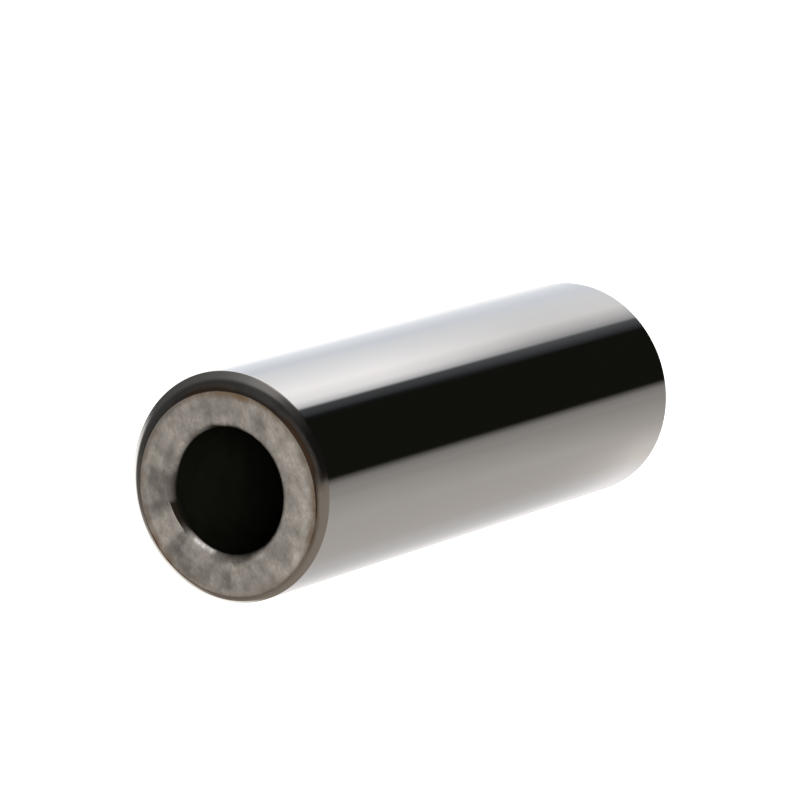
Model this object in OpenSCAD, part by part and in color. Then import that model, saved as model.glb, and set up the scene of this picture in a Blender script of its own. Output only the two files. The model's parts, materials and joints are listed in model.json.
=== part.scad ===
// Gudgeon pin: the hollow steel pin that joins a piston to the small end of its rod.
// One turned and ground piece. It stands on one end, with the axis of its ground
// journal on Z and the origin at the middle of the lower end face.

/* [Journal] */
// Outside diameter of the ground journal
pin_d = 20; // [17:0.5:40]
// Overall length from end face to end face
pin_l = 60; // [30:1:120]

/* [Ends] */
// Length of each outer chamfer along the axis
chamfer_l = 0.8; // [0.3:0.1:2]
// Width of each outer chamfer across the radius
chamfer_w = 1.05; // [0.6:0.05:2]
// Radius of the lip where an end face rolls over into its chamfer
lip_r = 0.5; // [0.2:0.1:1.5]

/* [Bore] */
// Diameter of the through bore
bore_d = 11; // [6:0.5:14]
// Radius of the rounded mouth at each end of the bore
mouth_r = 0.6; // [0.2:0.1:1.5]
// How far the formed bore and chamfers sit off the journal's axis, towards -X
runout = 0.35; // [0:0.05:0.5]

/* [Hidden] */
// Stock that is ground off the formed blank to leave the journal
grinding_stock = 0.5;
// How far a cutting body runs past the face that it cuts
overrun = 1;

pin_r = pin_d / 2;
bore_r = bore_d / 2;
face_r = pin_r - chamfer_w;
blank_r = pin_r + runout + grinding_stock;
chamfer_angle = atan2(chamfer_l, chamfer_w);
blank_shoulder_z = (blank_r - face_r) * tan(chamfer_angle);
lip_tangent = lip_r * tan(chamfer_angle / 2);

$fn = 128;

// Half section of one end of the formed blank, from its end face to mid length.
// The straight cuts across the two corners are filled out to arcs by the circles.
module end_section() {
    polygon([
        [bore_r, pin_l / 2],
        [bore_r, mouth_r],
        [bore_r + mouth_r, 0],
        [face_r - lip_tangent, 0],
        [face_r + lip_tangent * cos(chamfer_angle), lip_tangent * sin(chamfer_angle)],
        [blank_r, blank_shoulder_z],
        [blank_r, pin_l / 2],
    ]);
    translate([bore_r + mouth_r, mouth_r]) circle(r = mouth_r);
    translate([face_r - lip_tangent, lip_r]) circle(r = lip_r);
}

// Blank as formed: both ends alike, bored through, and not yet ground outside.
module formed_blank() {
    rotate_extrude() {
        end_section();
        translate([0, pin_l]) mirror([0, 1]) end_section();
    }
}

// Envelope of the ground journal, past both ends.
module journal_envelope() {
    translate([0, 0, -overrun]) cylinder(r = pin_r, h = pin_l + 2 * overrun);
}

// The finished pin: what grinding leaves of the blank.
module gudgeon_pin() {
    color([0.66, 0.66, 0.67])
        intersection() {
            journal_envelope();
            translate([-runout, 0, 0]) formed_blank();
        }
}

gudgeon_pin();
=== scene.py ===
"""Gudgeon pin: a hollow, polished steel pin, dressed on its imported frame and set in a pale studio."""

import json
import math

import bmesh
import bpy
from bpy.props import FloatProperty, FloatVectorProperty, IntProperty, PointerProperty
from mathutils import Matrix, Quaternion, Vector, noise


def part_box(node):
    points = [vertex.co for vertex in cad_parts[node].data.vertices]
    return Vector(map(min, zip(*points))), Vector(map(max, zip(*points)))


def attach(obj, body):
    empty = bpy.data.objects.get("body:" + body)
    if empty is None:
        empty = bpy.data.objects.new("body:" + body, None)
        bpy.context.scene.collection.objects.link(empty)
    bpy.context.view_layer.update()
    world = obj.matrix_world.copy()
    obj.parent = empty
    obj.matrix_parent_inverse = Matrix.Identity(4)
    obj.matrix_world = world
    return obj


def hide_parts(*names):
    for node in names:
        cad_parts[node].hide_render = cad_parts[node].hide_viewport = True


bl_info = {
    "name": "Gudgeon Pin",
    "version": (1, 0, 0),
    "blender": (4, 5, 0),
    "location": "View3D > Sidebar > Gudgeon Pin",
    "description": "Builds a polished hollow gudgeon pin and a plain studio stage for it",
    "category": "Object",
}

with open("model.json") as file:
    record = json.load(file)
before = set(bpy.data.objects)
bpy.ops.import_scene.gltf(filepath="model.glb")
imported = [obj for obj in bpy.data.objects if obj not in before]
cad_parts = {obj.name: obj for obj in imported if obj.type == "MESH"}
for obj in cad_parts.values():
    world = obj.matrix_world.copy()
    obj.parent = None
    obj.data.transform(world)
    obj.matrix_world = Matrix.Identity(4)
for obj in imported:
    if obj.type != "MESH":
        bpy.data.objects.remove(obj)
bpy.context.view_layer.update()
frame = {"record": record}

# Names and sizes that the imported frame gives
PIN_NODE = "gudgeon_pin"
PIN_BODY = "root"
MM = 0.001
MOUNTS = {mount["name"]: mount for mount in frame["record"]["mounts"]}
PIN_LOW, PIN_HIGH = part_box(PIN_NODE)
PIN_DIAMETER = 2 * min(-PIN_LOW.x, PIN_HIGH.x, -PIN_LOW.y, PIN_HIGH.y)
PIN_LENGTH = PIN_HIGH.z - PIN_LOW.z
BORE_DIAMETER = 2 * MOUNTS["through_bore"]["dims"]["r_mm"] * MM
BORE_RUNOUT = -MOUNTS["through_bore"]["pos_m"][0]


class PinSizes(bpy.types.PropertyGroup):
    """Sizes of the pin. What the frame holds comes from the frame."""

    diameter: FloatProperty(
        name="Journal diameter", description="Outside diameter of the ground journal",
        default=PIN_DIAMETER, unit="LENGTH",
    )
    length: FloatProperty(
        name="Length", description="Length from end face to end face",
        default=PIN_LENGTH, unit="LENGTH",
    )
    bore_diameter: FloatProperty(
        name="Bore diameter", description="Diameter of the through bore",
        default=BORE_DIAMETER, unit="LENGTH",
    )
    runout: FloatProperty(
        name="Runout", default=BORE_RUNOUT, unit="LENGTH",
        description="How far the formed bore and chamfers sit off the journal's axis, towards -X",
    )
    chamfer_length: FloatProperty(
        name="Chamfer length", description="Length of each outer chamfer along the axis",
        default=0.8 * MM, unit="LENGTH",
    )
    chamfer_width: FloatProperty(
        name="Chamfer width", description="Width of each outer chamfer across the radius",
        default=1.05 * MM, unit="LENGTH",
    )
    chamfer_start: FloatProperty(
        name="Chamfer start slope", description="Slope of the chamfer's inner band, where the lip ends",
        default=math.radians(29), subtype="ANGLE",
    )
    lean: FloatProperty(
        name="Lean", description="How far the upper end face leans over, down towards -X",
        default=math.radians(1.55), subtype="ANGLE",
    )
    rim_offset: FloatProperty(
        name="Rim offset", description="How far the upper face's rim sits off the blank's axis",
        default=0.15 * MM, unit="LENGTH",
    )
    rim_turn: FloatProperty(
        name="Rim turn", description="Angle round the pin at which the upper face's rim sits furthest out",
        default=math.radians(-65), subtype="ANGLE",
    )
    mouth_offset: FloatProperty(
        name="Mouth offset", description="How far the upper mouth sits off the blank's axis, towards +X",
        default=0.09 * MM, unit="LENGTH",
    )
    lip_radius: FloatProperty(
        name="Lip radius", description="Radius where an end face rolls over into its chamfer",
        default=0.5 * MM, unit="LENGTH",
    )
    edge_break: FloatProperty(
        name="Edge break", description="Width of the fine break between a chamfer and the journal",
        default=0.06 * MM, unit="LENGTH",
    )
    mouth_radius: FloatProperty(
        name="Mouth radius", description="Radius of the rounded mouth at each end of the bore",
        default=0.6 * MM, unit="LENGTH",
    )
    ripple_depth: FloatProperty(
        name="Ripple depth", description="Depth of the radial tool ripples in the upper end face",
        default=0.05 * MM, unit="LENGTH",
    )
    notch_width: FloatProperty(
        name="Notch width", description="How far the broken notch in the upper mouth cuts into the end face",
        default=0.46 * MM, unit="LENGTH",
    )
    notch_length: FloatProperty(
        name="Notch length", description="How far the broken notch in the upper mouth runs down the bore",
        default=0.85 * MM, unit="LENGTH",
    )
    segments: IntProperty(name="Segments", description="Steps round the pin", default=480, min=96, max=720)


class PinFinish(bpy.types.PropertyGroup):
    """Colours and roughness of the pin's surfaces."""

    journal_colour: FloatVectorProperty(
        name="Journal", description="Colour of the superfinished journal",
        default=(0.60, 0.60, 0.605), subtype="COLOR", min=0, max=1,
    )
    chamfer_colour: FloatVectorProperty(
        name="Chamfer", description="Colour of the satin chamfers",
        default=(0.60, 0.575, 0.545), subtype="COLOR", min=0, max=1,
    )
    face_colour: FloatVectorProperty(
        name="End face", description="Colour of the frosted end faces",
        default=(0.450, 0.416, 0.374), subtype="COLOR", min=0, max=1,
    )
    # Painted highlight: this bright colour stands in for a glint on the upper mouth.
    painted_glint_colour: FloatVectorProperty(
        name="Rubbed mouth", description="Colour of the mouth where it is rubbed bright",
        default=(0.74, 0.70, 0.665), subtype="COLOR", min=0, max=1,
    )
    # Also painted as shade over the near side of the upper mouth.
    oxide_and_shade_colour: FloatVectorProperty(
        name="Oxide", description="Colour of the black oxide in the bore",
        default=(0.0045, 0.0045, 0.003), subtype="COLOR", min=0, max=1,
    )
    stain_colour: FloatVectorProperty(
        name="Stain", description="Colour of the brown oxide that creeps out of the bore's mouth",
        default=(0.030, 0.021, 0.015), subtype="COLOR", min=0, max=1,
    )
    tint_colour: FloatVectorProperty(
        name="Heat tint", description="Colour of the heat tint along the rim of an end face",
        default=(0.21, 0.127, 0.062), subtype="COLOR", min=0, max=1,
    )
    film_colour: FloatVectorProperty(
        name="Brown film", description="Colour of the thin brown film on the near side of a lip",
        default=(0.036, 0.020, 0.011), subtype="COLOR", min=0, max=1,
    )
    journal_roughness: FloatProperty(
        name="Journal roughness", description="Roughness of the journal", default=0.045, subtype="FACTOR",
    )
    chamfer_roughness: FloatProperty(
        name="Chamfer roughness", description="Roughness of the chamfers", default=0.13, subtype="FACTOR",
    )
    face_roughness: FloatProperty(
        name="Face roughness", description="Roughness of the end faces", default=0.52, subtype="FACTOR",
    )
    face_metallic: FloatProperty(
        name="Face metallic", description="How metallic the frosted end faces look",
        default=0.45, subtype="FACTOR",
    )


class StageSettings(bpy.types.PropertyGroup):
    """Camera, floor and light."""

    elevation: FloatProperty(
        name="Elevation", description="Height of the camera above the horizon",
        default=math.radians(56.74), subtype="ANGLE",
    )
    roll: FloatProperty(
        name="Roll", default=math.radians(-105.6), subtype="ANGLE",
        description="Turn of the camera about its own axis, which lays the pin over in the picture",
    )
    distance: FloatProperty(
        name="Distance", description="Camera to the point it looks at", default=447.6 * MM, unit="LENGTH",
    )
    aim_side: FloatProperty(
        name="Aim to the side", description="How far the camera looks past the pin's axis, towards +X",
        default=3.26 * MM, unit="LENGTH",
    )
    aim_up: FloatProperty(
        name="Aim above the middle", description="How far the camera looks above the pin's mid length",
        default=0.07 * MM, unit="LENGTH",
    )
    lens: FloatProperty(
        name="Lens", description="Focal length in millimetres on a 36 mm sensor", default=225.0,
    )
    floor_size: FloatProperty(name="Floor size", description="Side of the floor", default=6.0, unit="LENGTH")
    floor_glow: FloatProperty(
        name="Floor glow", description="Light that the table top gives by itself", default=0.9,
    )
    key_power: FloatProperty(
        name="Key power", description="Power of the large soft light", default=4.6, unit="POWER",
    )
    tent_radius: FloatProperty(
        name="Tent radius", description="Radius of the light tent round the pin", default=0.3, unit="LENGTH",
    )


def sizes():
    """The pin's sizes, as the scene holds them."""
    return bpy.context.scene.gudgeon_sizes


def finish():
    """The pin's colours and roughness, as the scene holds them."""
    return bpy.context.scene.gudgeon_finish


def stage():
    """The stage's settings, as the scene holds them."""
    return bpy.context.scene.gudgeon_stage


# Form of the pin. Angles run round the formed blank's axis, 0 towards the camera and + towards +X.

# Valleys of the tool ripples in the upper end face, in degrees
RIPPLES = (-155, -142, -127, -110, -94, -78)
RIPPLE_HALF_WIDTH = 7.0
# Radii between which the ripples rise out of the smooth ring round the mouth
RIPPLE_RISE = (6.0 * MM, 6.8 * MM)
# Small chips beside the upper mouth: angle in degrees, radius and size in millimetres
CHIPS = ((-104, 6.15, 0.22), (-94, 6.2, 0.26), (-98, 6.0, 0.18))
CHIP_DEPTH = 0.05 * MM
# Fine grain of the upper end face: how deep it is, and how many of its noise's cells lie in a metre
GRAIN_DEPTH = 0.004 * MM
GRAIN_SCALE = 1400
# How these flaws run out: over which share of the face's width at its rim, and by which power down the mouth
FLAW_FADE = 0.125
FLAW_POWER = 4
# Where the upper mouth is rounded more, in degrees: middle and half width. Then how much more, as a share
MOUTH_SWELL = (35, 70)
MOUTH_SWELL_SHARE = 0.25
# How far the oxide's edge lies down the bore below the mouth
THROAT = 0.5 * MM
# The broken notch in the upper mouth, in degrees: where it starts, is full, begins to fade and ends
NOTCH = (172.0, 176.5, 199.0, 214.0)
# How much narrower the notch is at its end than at its start, as a share of its width
NOTCH_TAPER = 0.65
# How the notch's side curves out of the bore's wall, as a power
NOTCH_CURVE = 0.7
# Where a chamfer turns from its inner into its outer band, as shares of its width
BAND = (0.27, 0.68)
# How far the finer rings run down the bore's wall, in mouth radii, and along the journal
WALL_REACH = 4
SHANK_REACH = 1.0 * MM
# The few rings between the two ends, as shares of the length
MIDDLE_RINGS = (0.25, 0.5, 0.75)
# The outline's parts from the bore out to the journal: finish, part and steps
OUTLINE = (
    ("bore", "bore_wall", 8),
    ("mouth", "throat", 3),
    ("mouth", "mouth", 14),
    ("face", "face", 34),
    ("chamfer", "lip", 9),
    ("chamfer", "crown", 20),
    ("chamfer", "edge", 4),
    ("journal", "shank", 4),
)
FINISHES = ("journal", "chamfer", "face", "mouth", "bore")


def smooth_step(value, low, high):
    """0 below low, 1 above high and a smooth rise between them."""
    share = min(1.0, max(0.0, (value - low) / (high - low)))
    return share * share * (3 - 2 * share)


def band_rise(along):
    """How much depth a chamfer's outer band has added, for a share of the width and a slope of 1."""
    first, last = BAND
    turned = min(1.0, max(0.0, (along - first) / (last - first)))
    return (last - first) * (turned ** 3 - turned ** 4 / 2) + max(0.0, along - last)


def hump(angle, middle, half_width):
    """A smooth hump of height 1 at middle degrees, which falls to 0 half_width degrees either side."""
    away = abs((math.degrees(angle) - middle + 180) % 360 - 180)
    return 1 - smooth_step(away, 0, half_width)


class EndForm:
    """One end of the pin.

    Each part gives (radius, depth below the end face) for a share along it and an angle.
    """

    def __init__(self, size, flawed):
        self.size = size
        self.flawed = flawed
        self.bore = size.bore_diameter / 2
        self.slope = math.atan2(size.chamfer_length, size.chamfer_width)
        self.rim = size.diameter / 2 - size.chamfer_width
        self.lean = math.tan(size.lean) if flawed else 0.0
        self.face_edge = self.rim - size.lip_radius * math.tan(self.slope / 2)

    def notch(self, angle):
        """How much of the notch is at an angle, 0 to 1."""
        if not self.flawed:
            return 0.0
        degrees = math.degrees(angle) % 360
        start, full, fading, end = NOTCH
        return smooth_step(degrees, start, full) * (1 - smooth_step(degrees, fading, end))

    def notch_reach(self, angle):
        """How far the notch cuts into the end face at an angle: its edge runs straight, like a chord."""
        start, end = NOTCH[0], NOTCH[-1]
        along = min(1.0, max(0.0, (math.degrees(angle) % 360 - start) / (end - start)))
        return self.size.notch_width * (1 - NOTCH_TAPER * along)

    def mouth_size(self, angle):
        """The mouth's radius at an angle, a little larger on one side."""
        swell = MOUTH_SWELL_SHARE * hump(angle, *MOUTH_SWELL) if self.flawed else 0.0
        return self.size.mouth_radius * (1 + swell)

    def face_drop(self, radius, angle):
        """How far the flawed face lies below its plane: tool ripples, chips by the mouth and a fine grain."""
        if not self.flawed:
            return 0.0
        ripple = max(hump(angle, middle, RIPPLE_HALF_WIDTH) for middle in RIPPLES)
        drop = self.size.ripple_depth * ripple * smooth_step(radius, *RIPPLE_RISE)
        here = Vector((math.sin(angle), math.cos(angle))) * radius
        for degrees, chip_radius, chip_size in CHIPS:
            turn = math.radians(degrees)
            spot = Vector((math.sin(turn), math.cos(turn))) * chip_radius * MM
            drop += CHIP_DEPTH * (1 - smooth_step((here - spot).length, 0, chip_size * MM))
        grain = noise.noise(Vector((math.sin(angle), math.cos(angle), 0)) * radius * GRAIN_SCALE)
        return drop + GRAIN_DEPTH * (1 + grain)

    def reach(self, angle):
        """Distance from the blank's axis to the journal's surface."""
        off = self.size.runout
        return off * math.sin(angle) + math.sqrt((self.size.diameter / 2) ** 2 - (off * math.cos(angle)) ** 2)

    def sink(self, radius, angle):
        """How far the leaning face lies below the pin's full length."""
        side = radius * math.sin(angle) - self.size.runout
        return self.lean * max(0.0, self.rim - self.size.runout - side)

    def settle(self, radius, depth, angle):
        """Leans the face over, and sets its rim and mouth a little off the blank's axis."""
        if not self.flawed:
            return radius, depth
        outwards = min(1.0, max(0.0, (radius - self.bore) / (self.face_edge - self.bore)))
        radius += self.size.mouth_offset * math.sin(angle) * (1 - outwards)
        radius += self.size.rim_offset * math.cos(angle - self.size.rim_turn) * outwards
        return radius, depth + self.sink(radius, angle)

    def edge_depth(self, angle):
        """Depth at which the chamfer meets the journal."""
        reach = self.reach(angle)
        return (reach - self.rim) * math.tan(self.slope) + self.sink(reach, angle)

    def mouth_profile(self, share, angle):
        """The mouth: a rounding, with a notch broken into the upper one."""
        width = self.mouth_size(angle)
        turn = math.pi / 2 * share
        radius = self.bore + width * (1 - math.cos(turn))
        depth = width * (1 - math.sin(turn))
        if not self.flawed:
            return radius, depth
        broken = self.notch(angle)
        radius += broken * (self.bore + self.notch_reach(angle) * share ** NOTCH_CURVE - radius)
        depth += broken * (self.size.notch_length * (1 - share) - depth)
        return radius, depth

    def bore_wall(self, share, angle):
        """The bore's wall, from well inside up to its throat."""
        radius, depth = self.throat(0.0, angle)
        return radius, depth + WALL_REACH * self.size.mouth_radius * (1 - share) ** 2

    def throat(self, share, angle):
        """The last of the bore's wall, where the oxide thins out below the mouth."""
        return self.settle(self.bore, self.mouth_profile(0.0, angle)[1] + THROAT * (1 - share), angle)

    def mouth(self, share, angle):
        """The mouth, from the bore's wall out to the end face, whose flaws run out over it."""
        radius, depth = self.mouth_profile(share, angle)
        return self.settle(radius, depth + self.face_drop(radius, angle) * share ** FLAW_POWER, angle)

    def face(self, share, angle):
        """The end face, from the mouth out to where the lip starts."""
        inner = self.mouth_profile(1.0, angle)[0]
        radius = inner + (self.face_edge - inner) * share
        flawed_share = min(1.0, (1 - share) / FLAW_FADE)
        return self.settle(radius, self.face_drop(radius, angle) * flawed_share, angle)

    def lip(self, share, angle):
        """The rolled lip between the end face and the chamfer."""
        turn = self.size.chamfer_start * share
        radius = self.size.lip_radius
        return self.settle(self.face_edge + radius * math.sin(turn), radius * (1 - math.cos(turn)), angle)

    def crown(self, share, angle):
        """The chamfer, whose outer band is steeper than its inner one."""
        inner, inner_depth = self.lip(1.0, angle)
        wide = self.reach(angle) - inner
        mean_slope = (self.edge_depth(angle) - inner_depth) / wide
        first_slope = math.tan(self.size.chamfer_start) - self.lean * math.sin(angle)
        along = share * (1 - self.size.edge_break / wide)
        steeper = (mean_slope - first_slope) / band_rise(1.0)
        return inner + wide * along, inner_depth + wide * (first_slope * along + steeper * band_rise(along))

    def edge(self, share, angle):
        """The fine break between the chamfer and the journal."""
        start, start_depth = self.crown(1.0, angle)
        corner, corner_depth = self.reach(angle), self.edge_depth(angle)
        end_depth = corner_depth + self.size.edge_break
        first, second, third = (1 - share) ** 2, 2 * share * (1 - share), share ** 2
        radius = first * start + (second + third) * corner
        depth = first * start_depth + second * corner_depth + third * end_depth
        return radius, depth

    def shank(self, share, angle):
        """The first stretch of the journal."""
        start = self.edge_depth(angle) + self.size.edge_break
        return self.reach(angle), start + SHANK_REACH * share ** 2


def end_rings(form, angles):
    """The rings of one end from the bore out to the journal, as (finish, points of (radius, depth))."""
    made = []
    for name, part, steps in OUTLINE:
        place = getattr(form, part)
        for step in range(1, steps + 1):
            made.append((name, [place(step / steps, angle) for angle in angles]))
    return made


def pin_rings(size, angles):
    """The rings round the pin's whole section, as (finish of the band after it, points of (radius, height)).

    They run out of the bore over the upper end, down the journal, in over the lower end and up the bore.
    """
    upper_form, lower_form = EndForm(size, flawed=True), EndForm(size, flawed=False)
    upper, lower = end_rings(upper_form, angles), end_rings(lower_form, angles)
    for share in MIDDLE_RINGS:
        upper.append(("journal", [(upper_form.reach(angle), size.length * share) for angle in angles]))
    lower.reverse()
    walls = [[(lower_form.bore, size.length * share)] * len(angles) for share in reversed(MIDDLE_RINGS)]
    finishes = [name for name, _ in upper[1:] + lower[:1] + lower] + ["bore"] * len(walls)

    def from_top(points):
        """Turns depths below the upper end face into heights."""
        return [(radius, size.length - depth) for radius, depth in points]

    rings = [from_top(points) for _, points in upper]
    rings += [points for _, points in lower]
    rings += [from_top(points) for points in walls]
    return list(zip(finishes, rings))


def pin_mesh():
    """The pin as one closed turned mesh, with a finish for each band of faces."""
    size = sizes()
    angles = [2 * math.pi * step / size.segments for step in range(size.segments)]
    rings = pin_rings(size, angles)
    form = bmesh.new()
    made = []
    for _, points in rings:
        corners = []
        for angle, (radius, height) in zip(angles, points):
            place = (radius * math.sin(angle) - size.runout, -radius * math.cos(angle), height)
            corners.append(form.verts.new(place))
        made.append(corners)
    for index, (band, _) in enumerate(rings):
        corners, after = made[index], made[(index + 1) % len(made)]
        for step in range(size.segments):
            beside = (step + 1) % size.segments
            quad = form.faces.new((corners[step], corners[beside], after[beside], after[step]))
            quad.smooth = True
            quad.material_index = FINISHES.index(band)
    bmesh.ops.recalc_face_normals(form, faces=form.faces)
    mesh = bpy.data.meshes.new("gudgeon_pin_dressed")
    form.to_mesh(mesh)
    form.free()
    return mesh


# Nodes


def new_node(tree, kind, **values):
    """A node with some of its properties or inputs set. An input is named with underscores for spaces."""
    made = tree.nodes.new(kind)
    for key, value in values.items():
        if hasattr(made, key):
            setattr(made, key, value)
        else:
            made.inputs[key.replace("_", " ")].default_value = value
    return made


def feed(tree, value, socket):
    """Feeds a socket from an output, or sets it to a number or to a colour of three numbers."""
    if isinstance(value, bpy.types.NodeSocket):
        tree.links.new(value, socket)
    elif isinstance(value, (int, float)):
        socket.default_value = value
    else:
        socket.default_value = (*value, 1.0)


def math_node(tree, operation, *operands):
    """The output of a Math node. Each operand is a number or an output."""
    made = new_node(tree, "ShaderNodeMath", operation=operation)
    for socket, value in zip(made.inputs, operands):
        feed(tree, value, socket)
    return made.outputs[0]


def map_range(tree, value, low, high, to_low=0.0, to_high=1.0, smooth=True):
    """The output of a clamped Map Range node. Each bound is a number or an output."""
    made = new_node(tree, "ShaderNodeMapRange", clamp=True)
    made.interpolation_type = "SMOOTHSTEP" if smooth else "LINEAR"
    feed(tree, value, made.inputs["Value"])
    for name, bound in (("From Min", low), ("From Max", high), ("To Min", to_low), ("To Max", to_high)):
        feed(tree, bound, made.inputs[name])
    return made.outputs["Result"]


def mix_colour(tree, factor, first, second, blend="MIX"):
    """The output of a colour Mix node. Factor is an output, and each colour is an output or three numbers."""
    made = new_node(tree, "ShaderNodeMix", data_type="RGBA", blend_type=blend)
    feed(tree, factor, made.inputs["Factor"])
    feed(tree, first, made.inputs[6])
    feed(tree, second, made.inputs[7])
    return made.outputs[2]


def toned(tree, mask, colour, tone):
    """A colour output made lighter or darker by a tone where a mask says so."""
    return mix_colour(tree, mask, colour, (tone, tone, tone), blend="MULTIPLY")


def scaled(colour, factor):
    """A colour made lighter or darker."""
    return tuple(channel * factor for channel in colour)


def point_parts(tree, space):
    """The X, Y and Z outputs of the point or direction that is shaded, in one of the texture spaces."""
    where = tree.nodes.new("ShaderNodeTexCoord")
    split = tree.nodes.new("ShaderNodeSeparateXYZ")
    tree.links.new(where.outputs[space], split.inputs[0])
    return split.outputs["X"], split.outputs["Y"], split.outputs["Z"]


def azimuth_of(tree, x, y):
    """Angle round Z of a point or direction in radians, 0 towards the camera and + towards +X."""
    return math_node(tree, "ARCTAN2", x, math_node(tree, "MULTIPLY", y, -1.0))


def pin_noise(tree, **values):
    """The output of a noise texture that is fixed to the pin."""
    where = tree.nodes.new("ShaderNodeTexCoord")
    texture = new_node(tree, "ShaderNodeTexNoise", **values)
    tree.links.new(where.outputs["Object"], texture.inputs["Vector"])
    return texture.outputs[0]


def new_group(name, inputs, outputs):
    """A shader node group with its sockets. Gives the tree, its input node and its output node."""
    tree = bpy.data.node_groups.new(name, "ShaderNodeTree")
    for socket_name, default in inputs:
        socket = tree.interface.new_socket(socket_name, in_out="INPUT", socket_type="NodeSocketFloat")
        socket.default_value = default
    for socket_name in outputs:
        kind = "NodeSocketColor" if socket_name == "Colour" else "NodeSocketFloat"
        tree.interface.new_socket(socket_name, in_out="OUTPUT", socket_type=kind)
    return tree, tree.nodes.new("NodeGroupInput"), tree.nodes.new("NodeGroupOutput")


def place_group(tree, group, **values):
    """A copy of a node group in a tree, with its own values."""
    return new_node(tree, "ShaderNodeGroup", node_tree=group, **values)


def sector(tree, angle, middle, full, half_width):
    """A mask that is 1 within full degrees of middle and 0 beyond half_width degrees."""
    away = math_node(tree, "COSINE", math_node(tree, "SUBTRACT", angle, math.radians(middle)))
    return map_range(tree, away, math.cos(math.radians(half_width)), math.cos(math.radians(full)))


def strongest(tree, angle, spans, least=0.0):
    """A mask of several sectors, each with its strength, where the strongest holds. Least is its floor."""
    mask = least
    for *span, strength in spans:
        patch = math_node(tree, "MULTIPLY", sector(tree, angle, *span), strength)
        mask = math_node(tree, "MAXIMUM", mask, patch)
    return mask


# Effects that several finishes share

# From here to the stage, a span round the pin is in degrees: middle, half the full width and half the whole
# width. Radii, depths and heights are in millimetres.

# The range that most of a noise lies in
NOISE_RANGE = (0.3, 0.7)
# How far a roughness goes below and above its mean
ROUGHNESS_SPREAD = (0.85, 1.15)
# Frosting: how much finer it is along X, Y and Z, the tones of its blotches and its speckle as shares of the
# face's colour, and how strong the speckle is
FROST_SQUEEZE = (0.85, 1.2, 1.0)
BLOTCH_TONES = (0.7, 1.3)
SPECKLE_TONE = 0.42
SPECKLE_STRENGTH = 0.45
# Patches of the end faces that are lighter or darker: span, inner and outer radius, and tone
PATCHES = (
    (164, 11, 17, 5.0, 7.8, 0.7),
    (144, 10, 20, 5.0, 6.6, 0.76),
    (97, 12, 24, 5.0, 5.8, 0.72),
    (-104, 18, 26, 5.0, 6.15, 0.68),
    (179, 3, 7, 6.9, 8.9, 0.78),
    (-168, 7, 11, 5.8, 8.2, 1.2),
    (-140, 15, 20, 7.25, 8.7, 0.74),
    (-155, 2.5, 5, 5.6, 6.7, 0.74),
    (-110, 2, 5, 6.9, 8.4, 0.78),
    (-98, 3, 8, 5.9, 6.3, 0.7),
    (-50, 5, 10, 6.8, 8.8, 1.18),
    (-58, 6, 12, 8.4, 8.9, 1.25),
    (-60, 3, 8, 6.0, 7.6, 0.88),
    (-38, 3, 7, 6.0, 7.8, 0.84),
    (0, 27, 42, 6.4, 8.3, 1.14),
    (43, 4, 9, 6.0, 7.4, 0.85),
    (78, 9, 16, 6.5, 8.6, 0.87),
    # Painted shade where the face rolls over towards its rim:
    (124, 20, 34, 8.45, 9.2, 0.62),
)
# How far a patch fades outside and inside its radii
PATCH_FADE = (0.3, 0.2)
# A ripple's valley, darkened as painted shade: half its full and half its whole width in degrees, its radii,
# and its tone
VALLEY_SHADE = (1.5, RIPPLE_HALF_WIDTH, 6.4, 8.4)
VALLEY_SHADE_TONE = 0.84
# Where the heat tint along a rim is strongest: span and strength
TINTED = ((60, 26, 55, 0.9), (-20, 14, 36, 1.0), (-163, 10, 20, 1.0), (165, 8, 18, 0.6))
# How far the tint's line wavers, the range of noise that makes it patchy, and its strength between patches
TINT_WAVER = 0.06
TINT_NOISE = (0.35, 0.6)
TINT_BETWEEN = 0.6


def polar_group():
    """Where a point lies on the pin, in millimetres, and its angle from the camera's side, in radians.

    Radius is from the blank's axis, Rim Radius and Mouth Radius are from the middles of the upper face's rim
    and mouth, and Depth is below the nearer end face.
    """
    size = sizes()
    outputs = ["Radius", "Angle", "Depth", "Rim Radius", "Mouth Radius"]
    tree, _, out = new_group("pin_polar_place", [], outputs)
    from_journal, y, z = point_parts(tree, "Object")
    x = math_node(tree, "ADD", from_journal, size.runout)
    square = math_node(tree, "ADD", math_node(tree, "MULTIPLY", x, x), math_node(tree, "MULTIPLY", y, y))
    radius = math_node(tree, "MULTIPLY", math_node(tree, "SQRT", square), 1 / MM)
    angle = azimuth_of(tree, x, y)
    half = size.length / 2
    from_middle = math_node(tree, "ABSOLUTE", math_node(tree, "SUBTRACT", z, half))
    high_side = size.diameter / 2 - size.chamfer_width
    lean = math_node(tree, "MULTIPLY", math_node(tree, "SUBTRACT", high_side, x), math.tan(size.lean))
    upper = math_node(tree, "GREATER_THAN", z, half)
    lowered = math_node(tree, "MULTIPLY_ADD", math_node(tree, "MULTIPLY", lean, upper), -1.0, half)
    depth = math_node(tree, "MULTIPLY", math_node(tree, "SUBTRACT", lowered, from_middle), 1 / MM)
    for name, value in (("Radius", radius), ("Angle", angle), ("Depth", depth)):
        tree.links.new(value, out.inputs[name])
    for name, offset, turn in (
        ("Rim Radius", size.rim_offset, size.rim_turn),
        ("Mouth Radius", size.mouth_offset, math.pi / 2),
    ):
        towards = math_node(tree, "COSINE", math_node(tree, "SUBTRACT", angle, turn))
        tree.links.new(math_node(tree, "MULTIPLY_ADD", towards, -offset / MM, radius), out.inputs[name])
    return tree


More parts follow.
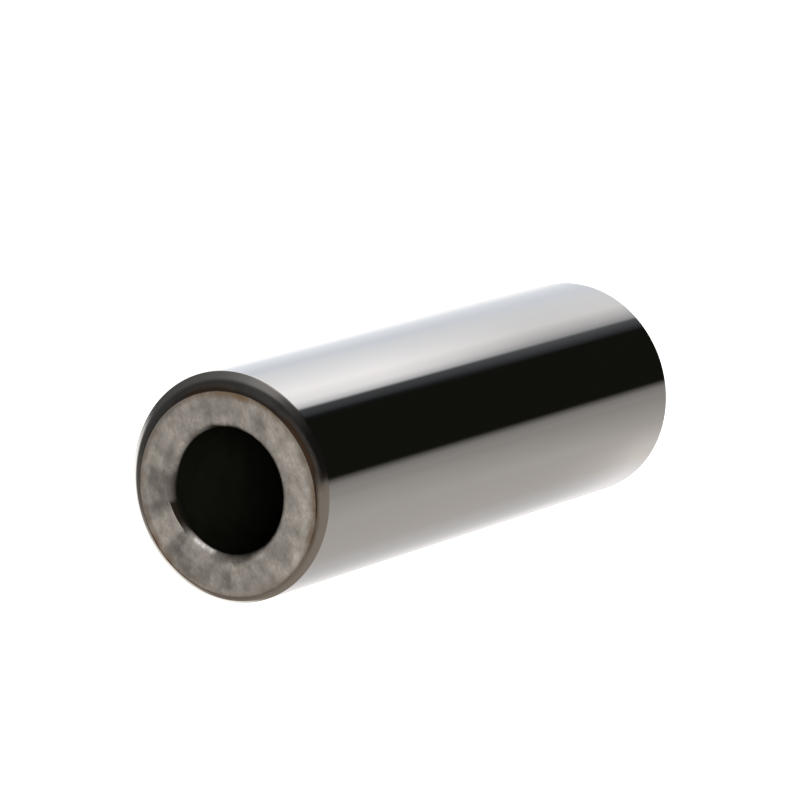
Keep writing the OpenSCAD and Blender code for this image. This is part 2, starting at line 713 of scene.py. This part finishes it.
def frost_group():
    """Frosted steel: masks of soft blotches and fine speckle, a height of grain, and the mottled colour."""
    inputs = [("Blotch Scale", 700.0), ("Speckle Scale", 3500.0), ("Grain Scale", 9000.0)]
    tree, given, out = new_group("frosted_mottle", inputs, ["Blotches", "Speckle", "Grain", "Colour"])
    where = tree.nodes.new("ShaderNodeTexCoord")
    squeezed = new_node(tree, "ShaderNodeMapping", Scale=FROST_SQUEEZE)
    tree.links.new(where.outputs["Object"], squeezed.inputs["Vector"])
    masks = {}
    for name, scale, detail, bounds in (
        ("Blotches", "Blotch Scale", 2.0, NOISE_RANGE),
        ("Speckle", "Speckle Scale", 3.0, NOISE_RANGE),
        ("Grain", "Grain Scale", 2.0, (0.0, 1.0)),
    ):
        texture = new_node(tree, "ShaderNodeTexNoise", Detail=detail, Roughness=0.6)
        tree.links.new(squeezed.outputs[0], texture.inputs["Vector"])
        tree.links.new(given.outputs[scale], texture.inputs["Scale"])
        masks[name] = map_range(tree, texture.outputs[0], *bounds, smooth=False)
        tree.links.new(masks[name], out.inputs[name])
    steel = finish().face_colour
    dark, light = (scaled(steel, tone) for tone in BLOTCH_TONES)
    blotched = mix_colour(tree, masks["Blotches"], dark, light)
    speckle = math_node(tree, "MULTIPLY", masks["Speckle"], SPECKLE_STRENGTH)
    tree.links.new(mix_colour(tree, speckle, blotched, scaled(steel, SPECKLE_TONE)), out.inputs["Colour"])
    return tree


def face_zone(tree, place, middle, full, half_width, inner, outer, most=1.0):
    """A soft patch of the end face, full between two radii in millimetres, as a mask."""
    outside, inside = PATCH_FADE
    around = sector(tree, place.outputs["Angle"], middle, full, half_width)
    rise = map_range(tree, place.outputs["Radius"], inner - outside, inner + inside)
    fall = map_range(tree, place.outputs["Radius"], outer - inside, outer + outside, most, 0.0)
    return math_node(tree, "MULTIPLY", around, math_node(tree, "MULTIPLY", rise, fall))


def face_tone_group(polar, frost):
    """The colour of an end face: mottled steel with its patches, and painted shade in the ripples' valleys.
    """
    tree, _, out = new_group("end_face_tones_and_shade", [], ["Colour"])
    place = place_group(tree, polar)
    colour = place_group(tree, frost).outputs["Colour"]
    # The ripples' valleys are darkened as painted shade.
    for middle in RIPPLES:
        colour = toned(tree, face_zone(tree, place, middle, *VALLEY_SHADE), colour, VALLEY_SHADE_TONE)
    for *patch, tone in PATCHES:
        colour = toned(tree, face_zone(tree, place, *patch), colour, tone)
    tree.links.new(colour, out.inputs["Colour"])
    return tree


def tint_group(polar):
    """Heat tint along the rim of an end face: a mask that is 1 where the brown is strongest."""
    inputs = [("Line Radius", 8.98), ("Line Width", 0.85), ("Least", 0.3)]
    tree, given, out = new_group("heat_tint_line", inputs, ["Tint"])
    place = place_group(tree, polar)
    patchy = pin_noise(tree, Scale=600.0, Detail=2.0)
    waver = map_range(tree, patchy, *NOISE_RANGE, -TINT_WAVER, TINT_WAVER)
    wavering = math_node(tree, "ADD", place.outputs["Rim Radius"], waver)
    away = math_node(tree, "SUBTRACT", wavering, given.outputs["Line Radius"])
    share = math_node(tree, "DIVIDE", math_node(tree, "ABSOLUTE", away), given.outputs["Line Width"])
    line = map_range(tree, share, 0.0, 1.0, 1.0, 0.0)
    strong = strongest(tree, place.outputs["Angle"], TINTED, given.outputs["Least"])
    patches = math_node(tree, "MULTIPLY", strong, map_range(tree, patchy, *TINT_NOISE, TINT_BETWEEN, 1.0))
    tree.links.new(math_node(tree, "MULTIPLY", line, patches), out.inputs["Tint"])
    return tree


# Finishes

# Tones of the journal's haze and of the chamfer's turning lines, as shares of their colours
HAZE_TONE = 0.97
LINE_TONES = (0.94, 1.06)
# A brown blot by the rim of an end face: span, inner and outer radius, and strength
BLOT = (60, 1.5, 7, 8.3, 9.0, 0.6)
# How far the end face's roughness goes above and below its mean from dark to light blotches
FACE_SPREAD = (1.1, 0.9)
# The lip, by radius from the middle of the rim: where its frosting ends, and how strong its heat tint is
LIP_FROST = (8.68, 8.95)
LIP_TINT = 0.85
# The brown film on the lip: span and strength, the radii over which it starts and ends, and the power by
# which it hides the steel
FILMED = ((14, 10, 28, 1.0), (84, 8, 26, 0.8))
FILM_START = (8.8, 9.0)
FILM_END = (9.0, 9.65)
FILM_POWER = 3.0
# Where the mouth is stained below its edge: span and strength. The stain grows by a power down to a depth
STAINED = ((172, 4, 34, 0.95), (-92, 12, 28, 0.85))
STAIN_DEPTH = 0.62
STAIN_POWER = 0.28
# Where the wall of the mouth's notch is darkened to dark brown: a span that starts the darkening sharply, and
# one that fades it out
NOTCH_DARKENED = ((190, 13, 18.5), (180, 9, 33))
# Where a glint is painted on the mouth's rounding, in a spot that is also smoother: span, the depth where it
# is full, the range of speckle that breaks it, what that leaves at the least, and its roughness
GLINT_SPOT = (-135, 6, 15)
GLINT_DEPTH = 0.2
GLINT_SPECKLE = (0.2, 0.8)
GLINT_LEAST = 0.35
RUB_ROUGHNESS = 0.35
# Painted shade, in the oxide's colour, over the near side of the mouth's rounding, which turns away from the
# light: span, the radii over which it thins out, and how far they waver
NEAR_MOUTH_SHADE = (5, 72, 118)
NEAR_SHADE_EDGE = (5.68, 6.16)
NEAR_SHADE_WAVER = 0.16
# The depths over which the oxide sets in all round, and where it climbs: span and height
OXIDE_DEPTH = (0.5, 0.95)
OXIDE_CLIMBS = ((-126, 12, 34, 0.2), (184, 7, 32, 0.26))
# The bore's oxide: tone of its lighter blotches, and roughness from dark to light blotches
OXIDE_TONE = 1.6
OXIDE_ROUGHNESS = (0.5, 0.65)


def new_material(name):
    """A material with one Principled BSDF. Gives the material, its tree and the shader."""
    made = bpy.data.materials.new(name)
    made.use_nodes = True
    return made, made.node_tree, made.node_tree.nodes["Principled BSDF"]


def feed_shader(tree, shader, **values):
    """Feeds some of a shader's inputs, each named with underscores for spaces."""
    for key, value in values.items():
        feed(tree, value, shader.inputs[key.replace("_", " ")])


def feed_bump(tree, shader, height, strength, distance):
    """Feeds a height to a shader's normal through a Bump node."""
    bump = new_node(tree, "ShaderNodeBump", Strength=strength, Distance=distance)
    tree.links.new(height, bump.inputs["Height"])
    tree.links.new(bump.outputs["Normal"], shader.inputs["Normal"])


def uneven(tree, value, roughness):
    """A roughness that follows a noise below and above its mean."""
    low, high = ROUGHNESS_SPREAD
    return map_range(tree, value, *NOISE_RANGE, roughness * low, roughness * high)


def journal_material():
    """Superfinished steel: nearly a mirror, with a breath of haze."""
    look = finish()
    made, tree, shader = new_material("superfinished_journal")
    haze = pin_noise(tree, Scale=130.0, Detail=3.0)
    colour = mix_colour(tree, haze, scaled(look.journal_colour, HAZE_TONE), look.journal_colour)
    rough = uneven(tree, haze, look.journal_roughness)
    feed_shader(tree, shader, Base_Color=colour, Metallic=1.0, Roughness=rough)
    return made


def lip_film(tree, place):
    """The brown film on the near side of a lip, as a mask."""
    lying = strongest(tree, place.outputs["Angle"], FILMED)
    fading = map_range(tree, place.outputs["Rim Radius"], *FILM_END, 1.0, 0.0, smooth=False)
    film = math_node(tree, "MULTIPLY", lying, fading)
    return math_node(tree, "MULTIPLY", film, map_range(tree, place.outputs["Rim Radius"], *FILM_START))


def chamfer_material(polar, frost, tint):
    """Satin chamfer with fine turning lines. Over its lip it is frosted, heat tinted and filmed."""
    look = finish()
    made, tree, shader = new_material("satin_chamfer")
    place = place_group(tree, polar)
    turning = new_node(tree, "ShaderNodeTexNoise", noise_dimensions="1D", Scale=28.0, Detail=3.0)
    tree.links.new(place.outputs["Radius"], turning.inputs["W"])
    lines = turning.outputs[0]
    dark, light = (scaled(look.chamfer_colour, tone) for tone in LINE_TONES)
    frosted = map_range(tree, place.outputs["Rim Radius"], *LIP_FROST, 1.0, 0.0)
    mottled = place_group(tree, frost).outputs["Colour"]
    colour = mix_colour(tree, frosted, mix_colour(tree, lines, dark, light), mottled)
    browned = place_group(tree, tint, Line_Radius=8.95, Line_Width=0.34, Least=0.45)
    brown = math_node(tree, "MULTIPLY", browned.outputs["Tint"], LIP_TINT)
    colour = mix_colour(tree, brown, colour, look.tint_colour)
    film = lip_film(tree, place)
    bare = math_node(tree, "POWER", math_node(tree, "SUBTRACT", 1.0, film), FILM_POWER)
    colour = mix_colour(tree, bare, look.film_colour, colour)
    opaque = math_node(tree, "MULTIPLY", film, film)
    dull = math_node(tree, "MAXIMUM", math_node(tree, "MULTIPLY", frosted, 1 - look.face_metallic), opaque)
    metallic = map_range(tree, dull, 0.0, 1.0, 1.0, 0.0, smooth=False)
    lined = uneven(tree, lines, look.chamfer_roughness)
    rough = map_range(tree, frosted, 0.0, 1.0, lined, look.face_roughness)
    feed_shader(tree, shader, Base_Color=colour, Metallic=metallic, Roughness=rough)
    feed_bump(tree, shader, lines, 0.05, 0.01 * MM)
    return made


def face_material(polar, frost, face_tones, tint):
    """Frosted end face: mottled, grainy and dull, with painted shade in the ripples' valleys and towards the
    rim, and the heat tint along its rim.
    """
    look = finish()
    made, tree, shader = new_material("frosted_end_face")
    mottle = place_group(tree, frost)
    blot = face_zone(tree, place_group(tree, polar), *BLOT)
    colour = mix_colour(tree, blot, place_group(tree, face_tones).outputs["Colour"], look.tint_colour)
    colour = mix_colour(tree, place_group(tree, tint).outputs["Tint"], colour, look.tint_colour)
    bounds = scaled(FACE_SPREAD, look.face_roughness)
    rough = map_range(tree, mottle.outputs["Blotches"], 0.0, 1.0, *bounds)
    feed_shader(tree, shader, Base_Color=colour, Metallic=look.face_metallic, Roughness=rough)
    feed_bump(tree, shader, mottle.outputs["Grain"], 0.5, 0.04 * MM)
    return made


def mouth_stain(tree, place):
    """The dark brown on the notch's wall, and the brown stain below the mouth's edge, as a mask."""
    angle = place.outputs["Angle"]
    sunk = map_range(tree, place.outputs["Depth"], 0.0, STAIN_DEPTH, smooth=False)
    below = math_node(tree, "POWER", sunk, STAIN_POWER)
    in_notch = math_node(tree, "MULTIPLY", *(sector(tree, angle, *span) for span in NOTCH_DARKENED))
    under_edge = math_node(tree, "MULTIPLY", strongest(tree, angle, STAINED), below)
    return math_node(tree, "MAXIMUM", in_notch, under_edge)


def mouth_glint(tree, place, speckle):
    """The speckled spot where a bright glint is painted on the mouth, which is smoother there, as a mask."""
    spot = sector(tree, place.outputs["Angle"], *GLINT_SPOT)
    glinting = math_node(tree, "MULTIPLY", spot, map_range(tree, place.outputs["Depth"], 0.0, GLINT_DEPTH))
    return math_node(tree, "MULTIPLY", glinting, map_range(tree, speckle, *GLINT_SPECKLE, 1.0, GLINT_LEAST))


def mouth_oxide_and_shade(tree, place, blotches):
    """The black oxide that comes up out of the bore, and painted shade in its colour over the mouth's near
    side, as a mask.
    """
    angle = place.outputs["Angle"]
    # Painted shade over the near side of the mouth's rounding, where it turns away from the light.
    wavering = math_node(tree, "MULTIPLY_ADD", blotches, NEAR_SHADE_WAVER, place.outputs["Mouth Radius"])
    near_shade = map_range(tree, wavering, *NEAR_SHADE_EDGE, 1.0, 0.0)
    near = math_node(tree, "MULTIPLY", sector(tree, angle, *NEAR_MOUTH_SHADE), near_shade)
    deep = place.outputs["Depth"]
    for *span, height in OXIDE_CLIMBS:
        deep = math_node(tree, "MULTIPLY_ADD", sector(tree, angle, *span), height, deep)
    return math_node(tree, "MAXIMUM", near, map_range(tree, deep, *OXIDE_DEPTH))


def mouth_material(polar, frost, face_tones):
    """Mouth of the bore: frosted, stained, blackened by the oxide, with a painted glint on a smoother spot
    and painted shade on its near side.
    """
    look = finish()
    made, tree, shader = new_material("bore_mouth_glint_and_shade")
    mottle = place_group(tree, frost, Speckle_Scale=1900.0)
    place = place_group(tree, polar)
    stained = mouth_stain(tree, place)
    glinting = mouth_glint(tree, place, mottle.outputs["Speckle"])
    black = mouth_oxide_and_shade(tree, place, mottle.outputs["Blotches"])
    colour = mix_colour(tree, stained, place_group(tree, face_tones).outputs["Colour"], look.stain_colour)
    # Painted highlight: the glint's bright colour.
    colour = mix_colour(tree, glinting, colour, look.painted_glint_colour)
    # Oxide from the bore, with painted shade over the mouth's near side.
    colour = mix_colour(tree, black, colour, look.oxide_and_shade_colour)
    dull = math_node(tree, "MAXIMUM", black, glinting)
    metallic = map_range(tree, dull, 0.0, 1.0, look.face_metallic, 0.0)
    rough = map_range(tree, glinting, 0.0, 1.0, look.face_roughness, RUB_ROUGHNESS)
    feed_shader(tree, shader, Base_Color=colour, Metallic=metallic, Roughness=rough, Specular_IOR_Level=0.2)
    feed_bump(tree, shader, mottle.outputs["Grain"], 0.4, 0.03 * MM)
    return made


def bore_material(frost):
    """Black oxide left in the bore by heat treatment."""
    look = finish()
    made, tree, shader = new_material("bore_oxide")
    mottle = place_group(tree, frost, Blotch_Scale=400.0)
    blotches = mottle.outputs["Blotches"]
    colour = mix_colour(tree, blotches, look.oxide_and_shade_colour, scaled(look.oxide_and_shade_colour, OXIDE_TONE))
    rough = map_range(tree, blotches, 0.0, 1.0, *OXIDE_ROUGHNESS)
    feed_shader(tree, shader, Base_Color=colour, Roughness=rough, Specular_IOR_Level=0.1)
    feed_bump(tree, shader, mottle.outputs["Grain"], 0.3, 0.04 * MM)
    return made


def pin_materials():
    """The pin's materials in the order of FINISHES."""
    polar = polar_group()
    frost = frost_group()
    face_tones = face_tone_group(polar, frost)
    tint = tint_group(polar)
    return (
        journal_material(),
        chamfer_material(polar, frost, tint),
        face_material(polar, frost, face_tones, tint),
        mouth_material(polar, frost, face_tones),
        bore_material(frost),
    )


class GUDGEON_OT_pin(bpy.types.Operator):
    """Builds the dressed pin in place of its plain solid"""

    bl_idname = "gudgeon.pin"
    bl_label = "Build gudgeon pin"

    def execute(self, context):
        """Makes the mesh and its materials, and seats the piece on the frame."""
        pin = bpy.data.objects.new("gudgeon_pin_dressed", pin_mesh())
        context.scene.collection.objects.link(pin)
        for material in pin_materials():
            pin.data.materials.append(material)
        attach(pin, PIN_BODY)
        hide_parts(PIN_NODE)
        return {"FINISHED"}


# Stage

# Tints of the studio's cards
PLAIN = (1.0, 1.0, 1.0)
CREAM = (1.03, 1.0, 0.985)
WARM = (1.07, 1.0, 0.93)
SAND = (1.13, 1.0, 0.87)
COOL = (0.966, 1.0, 1.056)
DEEP = (1.0, 1.0, 0.73)
# Cards that hang round the pin, below the floor. Azimuth in degrees, 0 towards the camera and + towards +X,
# then brightness where the pin's top and where its bottom mirrors them, and tint
TENT_CARDS = (
    (-180, 0.94, 0.82, CREAM),
    (-168, 0.90, 0.74, CREAM),
    (-157, 0.94, 0.98, CREAM),
    (-136, 0.72, 1.01, CREAM),
    (-126, 0.64, 0.96, CREAM),
    (-104, 0.535, 0.83, WARM),
    (-88, 0.525, 0.755, WARM),
    (-62, 0.51, 0.51, WARM),
    (-41, 0.42, 0.395, WARM),
    (-36, 0.367, 0.358, WARM),
    (-31, 0.352, 0.352, WARM),
    (-25, 0.29, 0.29, WARM),
    (-18, 0.0088, 0.0088, DEEP),
    (42, 0.0088, 0.0088, DEEP),
    (45, 0.012, 0.035, COOL),
    (49, 0.055, 0.070, COOL),
    (55.2, 0.085, 0.12, COOL),
    (57.4, 0.72, 0.42, PLAIN),
    (64, 1.15, 0.63, CREAM),
    (78, 1.32, 0.94, CREAM),
    (100, 1.08, 0.93, PLAIN),
    (122, 0.87, 0.87, COOL),
    (144, 1.00, 0.93, COOL),
    (160, 1.20, 1.06, PLAIN),
)
# Where the cards turn from their upper to their lower brightness only near the bottom: middle, half the full
# width and half the whole width in degrees, and how late they turn, as a power
LATE_TURN = (-109, 29, 54)
LATE_POWER = 3.5
# What the steel sees round the horizon, above it and higher up: azimuth in degrees, brightness and tint
HORIZON = (
    (-180, 1.6, PLAIN),
    (-150, 1.6, PLAIN),
    (-115, 0.7, WARM),
    (-30, 0.34, WARM),
    (-17, 0.2, WARM),
    (-14, 0.010, WARM),
    (46, 0.010, PLAIN),
    (66, 1.5, PLAIN),
    (125, 1.4, PLAIN),
    (150, 1.6, PLAIN),
)
WALLS = (
    (-180, 0.12, SAND),
    (-150, 0.27, SAND),
    (-30, 0.26, SAND),
    (-17, 0.21, SAND),
    (-14, 0.010, SAND),
    (30, 0.010, PLAIN),
    (40, 0.035, PLAIN),
    (48, 0.12, PLAIN),
    (58, 0.27, PLAIN),
    (69, 0.56, CREAM),
    (80, 0.40, CREAM),
    (90, 0.29, PLAIN),
    (107, 0.18, PLAIN),
    (124, 0.125, PLAIN),
    (140, 0.10, PLAIN),
    (160, 0.075, PLAIN),
)
CEILING = (
    (-180, 0.20, SAND),
    (-165, 0.18, SAND),
    (-120, 0.26, SAND),
    (-30, 0.25, SAND),
    (-18, 0.20, SAND),
    (-15, 0.010, SAND),
    (25, 0.012, PLAIN),
    (50, 0.045, PLAIN),
    (62, 0.04, PLAIN),
    (83, 0.07, PLAIN),
    (100, 0.058, PLAIN),
    (127, 0.053, PLAIN),
    (150, 0.05, PLAIN),
    (165, 0.06, PLAIN),
    (173, 0.15, PLAIN),
)
# What it sees straight overhead
OVERHEAD = (0.07, 0.065, 0.06)
# Height of the horizon, for a direction of length 1. Each row adds a height, which goes from its third value
# to its fourth as X goes from its first value to its second
HORIZON_LINE = (
    (-0.43, 0.07, 0.2, -0.21),
    (0.3, 0.7, 0.0, -0.15),
    (-0.9, -0.35, -0.6, 0.0),
)
# Heights over which the walls follow on the horizon, counted from it, the ceiling on the walls, and what is
# overhead on the ceiling. The ceiling comes lower behind the pin, by a share of Y
WALLS_RISE = (-0.16, 0.14)
CEILING_RISE = (0.42, 0.62)
OVERHEAD_RISE = (0.90, 0.97)
CEILING_DROP = 0.5
# The light tent: the steps round it, the height of its upper edge in metres, and how many radii its lower
# edge lies below the floor
TENT_STEPS = 96
TENT_TOP = -0.26
TENT_DROP = 4
# The large soft light: azimuth and elevation in degrees, then distance and size in metres
KEY_AZIMUTH = -10
KEY_ELEVATION = 50
KEY_DISTANCE = 0.6
KEY_SIZE = 0.3
# The camera's sensor in millimetres, and the nearest that it sees in metres
SENSOR_WIDTH = 36.0
CLIP_START = 0.01


def azimuth_ramp(tree, azimuth, stops):
    """A colour that follows azimuth round the circle. Each stop is (azimuth in degrees, brightness, tint)."""
    ramp = tree.nodes.new("ShaderNodeValToRGB")
    tree.links.new(map_range(tree, azimuth, -math.pi, math.pi, smooth=False), ramp.inputs[0])
    closed = (*stops, (180, *stops[0][1:]))
    elements = ramp.color_ramp.elements
    while len(elements) < len(closed):
        elements.new(0.5)
    for element, (degrees, level, tint) in zip(elements, closed):
        element.position = (degrees + 180) / 360
        element.color = (*scaled(tint, level), 1.0)
    return ramp.outputs["Color"]


def surround_colour(tree):
    """What the steel sees round it, by direction: a pale horizon under dim walls and a ceiling."""
    x, y, height = point_parts(tree, "Generated")
    azimuth = azimuth_of(tree, x, y)
    horizon, walls, ceiling = (azimuth_ramp(tree, azimuth, stops) for stops in (HORIZON, WALLS, CEILING))
    line = 0.0
    for bounds in HORIZON_LINE:
        line = math_node(tree, "ADD", line, map_range(tree, x, *bounds))
    above = map_range(tree, math_node(tree, "SUBTRACT", height, line), *WALLS_RISE)
    colour = mix_colour(tree, above, horizon, walls)
    behind = math_node(tree, "MULTIPLY", math_node(tree, "MAXIMUM", y, 0.0), CEILING_DROP)
    lifted = math_node(tree, "ADD", height, behind)
    colour = mix_colour(tree, map_range(tree, lifted, *CEILING_RISE), colour, ceiling)
    return mix_colour(tree, map_range(tree, height, *OVERHEAD_RISE), colour, OVERHEAD)


def build_surround(scene):
    """The studio as the world: plain white to the camera, and its walls to all else."""
    world = bpy.data.worlds.new("studio_surround")
    world.use_nodes = True
    scene.world = world
    tree = world.node_tree
    tree.nodes.clear()
    seen_by_steel = tree.nodes.new("ShaderNodeBackground")
    tree.links.new(surround_colour(tree), seen_by_steel.inputs["Color"])
    seen_by_camera = new_node(tree, "ShaderNodeBackground", Color=(1, 1, 1, 1))
    path = tree.nodes.new("ShaderNodeLightPath")
    choose = tree.nodes.new("ShaderNodeMixShader")
    out = tree.nodes.new("ShaderNodeOutputWorld")
    tree.links.new(path.outputs["Is Camera Ray"], choose.inputs[0])
    tree.links.new(seen_by_steel.outputs[0], choose.inputs[1])
    tree.links.new(seen_by_camera.outputs[0], choose.inputs[2])
    tree.links.new(choose.outputs[0], out.inputs["Surface"])


def tent_mesh(radius):
    """The tent's cards, as an open ring round the pin."""
    bottom = -TENT_DROP * radius
    form = bmesh.new()
    for step in range(TENT_STEPS):
        turns = [2 * math.pi * (step + part) / TENT_STEPS for part in (0, 1)]
        first, second = [(radius * math.sin(turn), -radius * math.cos(turn)) for turn in turns]
        places = [(*first, TENT_TOP), (*second, TENT_TOP), (*second, bottom), (*first, bottom)]
        form.faces.new([form.verts.new(place) for place in places])
    mesh = bpy.data.meshes.new("light_tent")
    form.to_mesh(mesh)
    form.free()
    return mesh


def tent_material(fall):
    """Glowing cards that fade from top to bottom. Fall is how far below itself the steel mirrors them."""
    material = bpy.data.materials.new("tent_cards")
    material.use_nodes = True
    tree = material.node_tree
    tree.nodes.clear()
    x, y, z = point_parts(tree, "Object")
    azimuth = azimuth_of(tree, x, y)
    upper = azimuth_ramp(tree, azimuth, [(degrees, level, tint) for degrees, level, _, tint in TENT_CARDS])
    lower = azimuth_ramp(tree, azimuth, [(degrees, level, tint) for degrees, _, level, tint in TENT_CARDS])
    middle = PIN_LENGTH / 2
    fade = map_range(tree, z, PIN_LENGTH - fall, -fall, smooth=False)
    low = map_range(tree, z, middle - fall, -middle - fall, smooth=False)
    late = math_node(tree, "POWER", low, LATE_POWER)
    turned = map_range(tree, sector(tree, azimuth, *LATE_TURN), 0.0, 1.0, fade, late)
    glow = tree.nodes.new("ShaderNodeEmission")
    tree.links.new(mix_colour(tree, turned, upper, lower), glow.inputs["Color"])
    out = tree.nodes.new("ShaderNodeOutputMaterial")
    tree.links.new(glow.outputs[0], out.inputs["Surface"])
    return material


def build_tent(scene):
    """A light tent round and below the pin that shows only in reflections, past the table top."""
    radius = stage().tent_radius
    mesh = tent_mesh(radius)
    mesh.materials.append(tent_material(radius * math.tan(stage().elevation)))
    tent = bpy.data.objects.new("light_tent", mesh)
    scene.collection.objects.link(tent)
    tent.visible_camera = False
    tent.visible_diffuse = False
    tent.visible_shadow = False


def build_floor(scene):
    """A pale lit table top under the pin."""
    half = stage().floor_size / 2
    mesh = bpy.data.meshes.new("studio_floor")
    corners = [(-half, -half, 0), (half, -half, 0), (half, half, 0), (-half, half, 0)]
    mesh.from_pydata(corners, [], [(0, 1, 2, 3)])
    floor = bpy.data.objects.new("studio_floor", mesh)
    scene.collection.objects.link(floor)
    material, tree, shader = new_material("pale_table_top")
    feed_shader(tree, shader, Base_Color=(0.8, 0.8, 0.8), Roughness=0.9)
    feed_shader(tree, shader, Emission_Color=PLAIN, Emission_Strength=stage().floor_glow)
    mesh.materials.append(material)
    floor.visible_glossy = False


def build_light(scene):
    """A large soft light beside the camera, for what is dull. It looks at the pin's upper end."""
    data = bpy.data.lights.new("large_soft_light", "AREA")
    data.shape = "DISK"
    data.size = KEY_SIZE
    data.energy = stage().key_power
    lamp = bpy.data.objects.new("large_soft_light", data)
    turn, lift = math.radians(KEY_AZIMUTH), math.radians(KEY_ELEVATION)
    towards = Vector((math.sin(turn) * math.cos(lift), -math.cos(turn) * math.cos(lift), math.sin(lift)))
    lamp.location = Vector((0, 0, PIN_LENGTH)) + towards * KEY_DISTANCE
    lamp.rotation_mode = "QUATERNION"
    lamp.rotation_quaternion = (-towards).to_track_quat("-Z", "Y")
    lamp.visible_glossy = False
    scene.collection.objects.link(lamp)


def build_camera(scene):
    """The camera, above the pin and rolled over so that the pin lies across the picture."""
    view = stage()
    data = bpy.data.cameras.new("photo_view")
    data.sensor_width = SENSOR_WIDTH
    data.lens = view.lens
    data.clip_start = CLIP_START
    camera = bpy.data.objects.new("photo_view", data)
    scene.collection.objects.link(camera)
    aim = Vector((view.aim_side, 0, PIN_LENGTH / 2 + view.aim_up))
    back = Vector((0, -math.cos(view.elevation), math.sin(view.elevation)))
    camera.location = aim + back * view.distance
    camera.rotation_mode = "QUATERNION"
    upright = (-back).to_track_quat("-Z", "Y")
    camera.rotation_quaternion = upright @ Quaternion((0, 0, 1), view.roll)
    scene.camera = camera


class GUDGEON_OT_stage(bpy.types.Operator):
    """Sets the floor, the studio surround, the light tent, the light and the camera"""

    bl_idname = "gudgeon.stage"
    bl_label = "Set studio stage"

    def execute(self, context):
        """Makes the stage in the current scene."""
        scene = context.scene
        build_floor(scene)
        build_surround(scene)
        build_tent(scene)
        build_light(scene)
        build_camera(scene)
        scene.view_settings.view_transform = "Standard"
        return {"FINISHED"}


class GUDGEON_PT_panel(bpy.types.Panel):
    """Lists the operators and the settings"""

    bl_idname = "GUDGEON_PT_panel"
    bl_label = "Gudgeon Pin"
    bl_space_type = "VIEW_3D"
    bl_region_type = "UI"
    bl_category = "Gudgeon Pin"

    def draw(self, context):
        """Draws the buttons and the values."""
        layout = self.layout
        scene = context.scene
        for operator in OPERATORS:
            layout.operator(operator.bl_idname)
        for group in (scene.gudgeon_sizes, scene.gudgeon_finish, scene.gudgeon_stage):
            box = layout.box()
            for name in group.bl_rna.properties.keys():
                if name not in ("rna_type", "name"):
                    box.prop(group, name)


OPERATORS = (GUDGEON_OT_pin, GUDGEON_OT_stage)
CLASSES = (PinSizes, PinFinish, StageSettings, *OPERATORS, GUDGEON_PT_panel)


def register():
    """Registers the classes and hangs the settings on the scene."""
    for item in CLASSES:
        bpy.utils.register_class(item)
    bpy.types.Scene.gudgeon_sizes = PointerProperty(type=PinSizes)
    bpy.types.Scene.gudgeon_finish = PointerProperty(type=PinFinish)
    bpy.types.Scene.gudgeon_stage = PointerProperty(type=StageSettings)


def unregister():
    """Takes the settings off the scene and unregisters the classes."""
    del bpy.types.Scene.gudgeon_stage
    del bpy.types.Scene.gudgeon_finish
    del bpy.types.Scene.gudgeon_sizes
    for item in reversed(CLASSES):
        bpy.utils.unregister_class(item)


def main():
    register()
    bpy.ops.gudgeon.pin()
    bpy.ops.gudgeon.stage()


if __name__ == "__main__":
    main()
